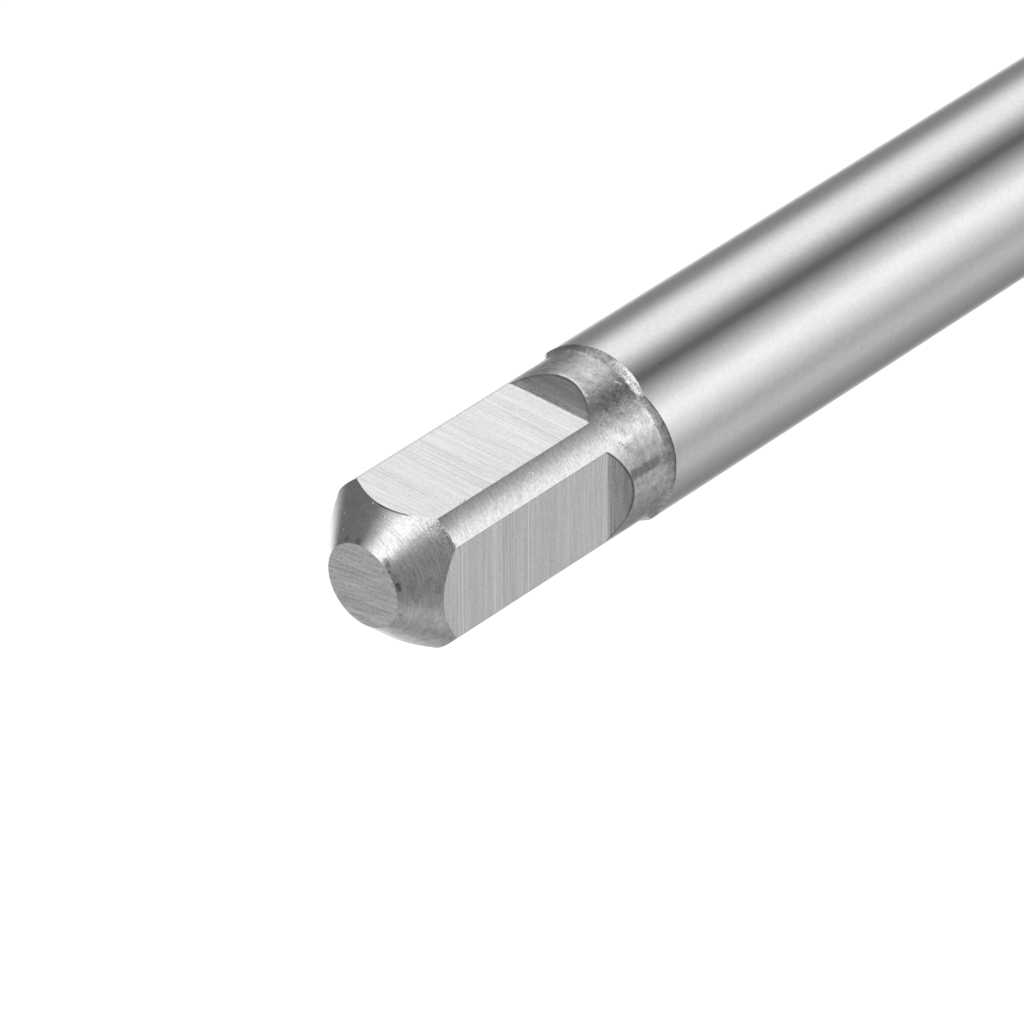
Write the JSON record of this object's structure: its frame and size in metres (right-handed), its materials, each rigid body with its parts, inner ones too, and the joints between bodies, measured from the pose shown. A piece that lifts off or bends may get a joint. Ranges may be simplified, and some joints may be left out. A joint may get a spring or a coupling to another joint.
{
  "type": "spiral flute tap",
  "caption": "Right-hand spiral flute machine tap for cutting internal threads, with a ground square drive, cylindrical shank, recessed neck and helical chip flutes.",
  "frame": {"origin": "on the tool's axis at mid-length, inside the cylindrical shank: 26.5 mm from the face of the drive end and 26.5 mm from the cutting tip", "axes": "+X along the tool's axis from the square drive end to the cutting tip, +Z along the outward normal of one flat of the square, +Y along the normal of the next flat"},
  "size_m": [0.053, 0.004, 0.004],
  "materials": {
    "tool_steel": "bright ground"
  },
  "bodies": {
    "root": {"spiral_flute_tap": "tool_steel"}
  },
  "joints": []
}
